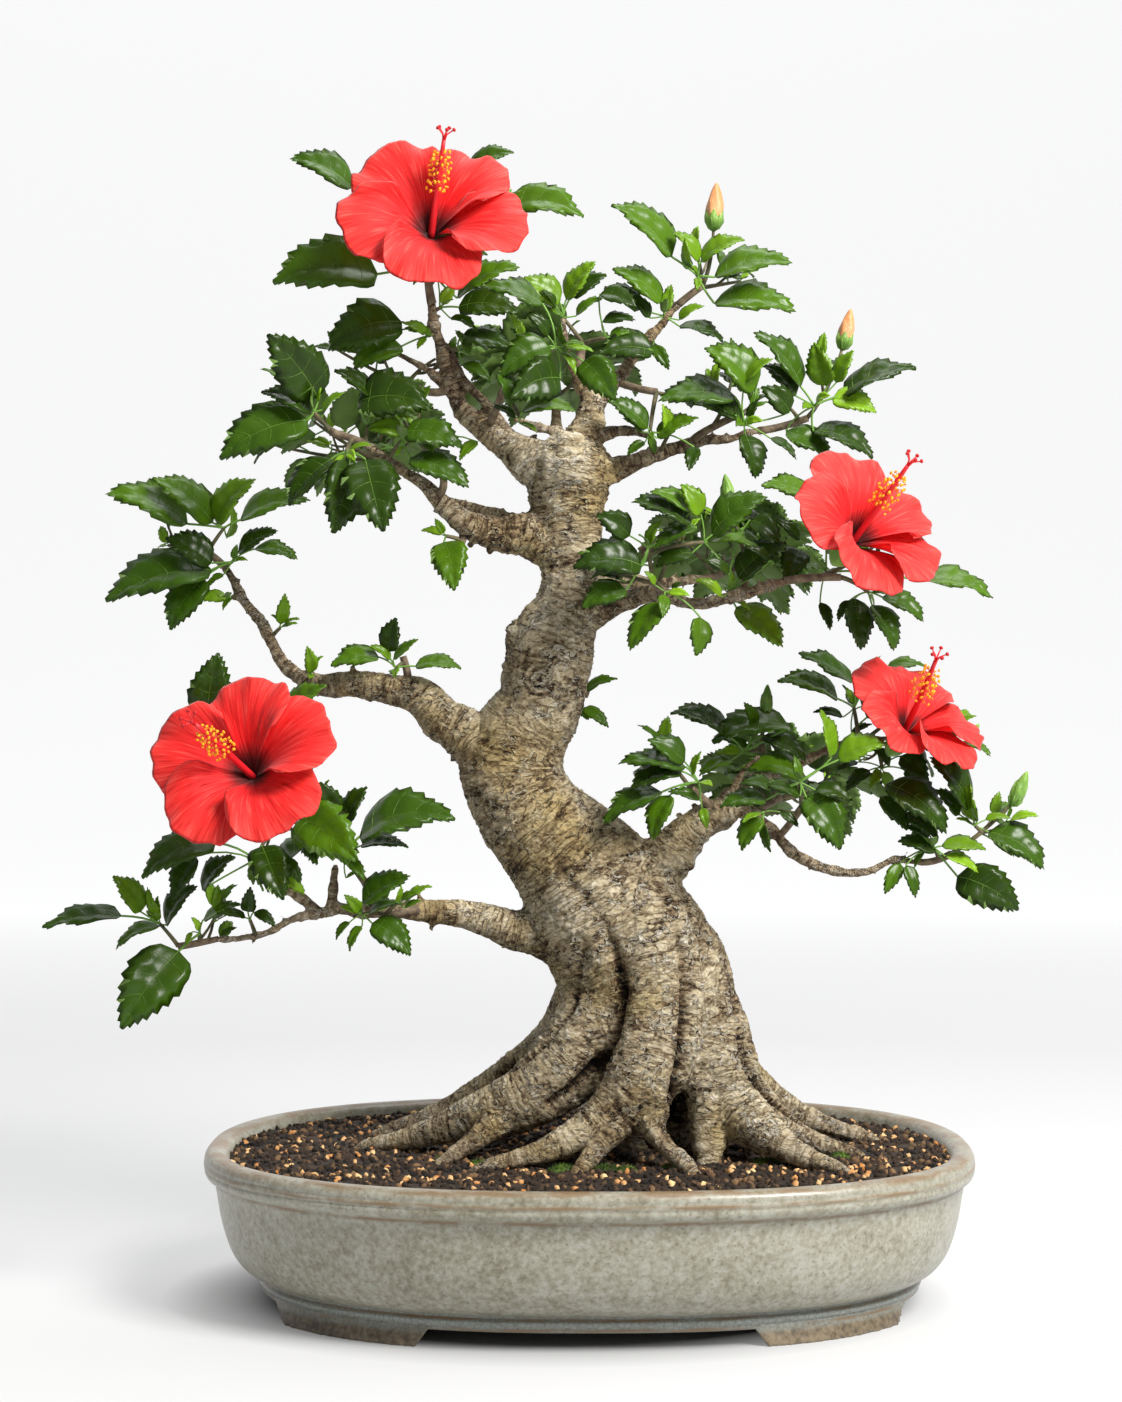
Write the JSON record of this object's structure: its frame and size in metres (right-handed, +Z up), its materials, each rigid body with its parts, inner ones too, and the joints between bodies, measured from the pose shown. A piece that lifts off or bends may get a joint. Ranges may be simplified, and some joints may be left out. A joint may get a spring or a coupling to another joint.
{
  "type": "hibiscus bonsai",
  "caption": "Flowering hibiscus trained as a bonsai, with a curved tan trunk, spreading surface roots, leafy boughs and red blooms, in an oval glazed pot.",
  "frame": {"origin": "on the floor the pot stands on, under the middle of the plant's outer box", "axes": "+Z up, -Y towards the viewer of the picture, +X to the viewer's right along the pot's length"},
  "size_m": [0.5328, 0.333, 0.6268],
  "materials": {
    "pot_glaze": "glossy celadon glaze, brown where it is thin",
    "soil": "matt granular soil",
    "bark": "rough flaking bark",
    "foliage": "waxy leaves, satin petals"
  },
  "bodies": {
    "root": {"bough_back_left": "bark", "bough_back_low": "bark", "bough_back_right": "bark", "bough_back_top": "bark", "bough_leader": "bark", "bough_leader_right": "bark", "bough_left": "bark", "bough_left_rise": "bark", "bough_lower_left": "bark", "bough_lower_left_run": "bark", "bough_lower_right": "bark", "bough_lower_right_rise": "bark", "bough_lower_right_run": "bark", "bough_right": "bark", "bough_top_left": "bark", "bough_upper_left": "bark", "bough_upper_right": "bark", "foliage_back_left": "foliage", "foliage_back_low": "foliage", "foliage_back_right": "foliage", "foliage_back_top": "foliage", "foliage_crown_front": "foliage", "foliage_crown_inner": "foliage", "foliage_crown_middle": "foliage", "foliage_crown_right": "foliage", "foliage_left_end": "foliage", "foliage_left_tuft": "foliage", "foliage_lower_left_bloom": "foliage", "foliage_lower_left_end": "foliage", "foliage_lower_left_inner": "foliage", "foliage_lower_right_bloom": "foliage", "foliage_lower_right_end": "foliage", "foliage_lower_right_front": "foliage", "foliage_lower_right_inner": "foliage", "foliage_lower_right_middle": "foliage", "foliage_right_bloom": "foliage", "foliage_right_inner": "foliage", "foliage_right_middle": "foliage", "foliage_top_bloom": "foliage", "foliage_top_left": "foliage", "foliage_trunk_sprig": "foliage", "foliage_upper_left_end": "foliage", "foliage_upper_left_inner": "foliage", "foliage_upper_left_leaf": "foliage", "foliage_upper_right": "foliage", "foliage_upper_right_end": "foliage", "pot": "pot_glaze", "soil": "soil", "trunk": "bark"}
  },
  "joints": []
}
